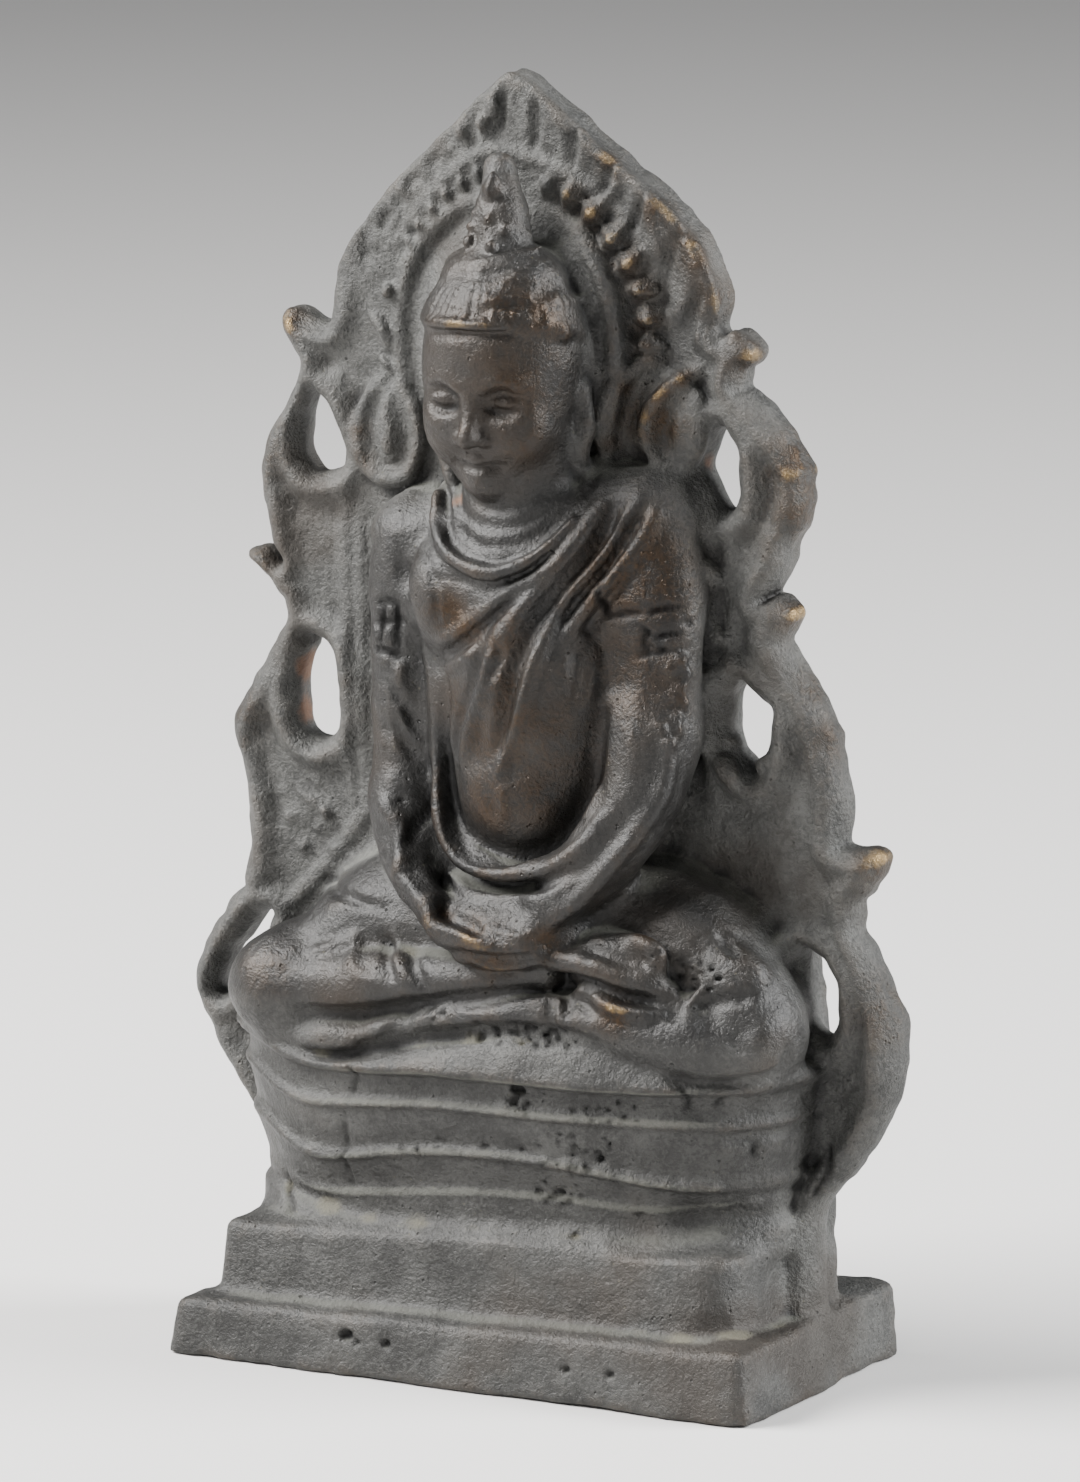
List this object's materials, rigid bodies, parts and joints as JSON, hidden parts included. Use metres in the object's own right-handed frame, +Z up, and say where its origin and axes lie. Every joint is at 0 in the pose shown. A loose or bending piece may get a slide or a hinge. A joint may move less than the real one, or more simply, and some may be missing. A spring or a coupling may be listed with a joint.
{
  "type": "seated buddha statue",
  "caption": "Cast seated Buddha in meditation on a banded lotus seat, with a pierced flame-edged back plate and a stepped plinth.",
  "frame": {"origin": "middle of the plinth's underside, on the surface the figure stands on", "axes": "+Z up, the figure faces -Y and +X is at its left hand"},
  "size_m": [0.0669, 0.0294, 0.11],
  "materials": {
    "patinated_brass": "cast and hand chased, dark grey-brown patina worn to warm brown and dull gold on the high spots, pale dirt in the hollows"
  },
  "bodies": {
    "root": {"buddha_statue": "patinated_brass"}
  },
  "joints": []
}
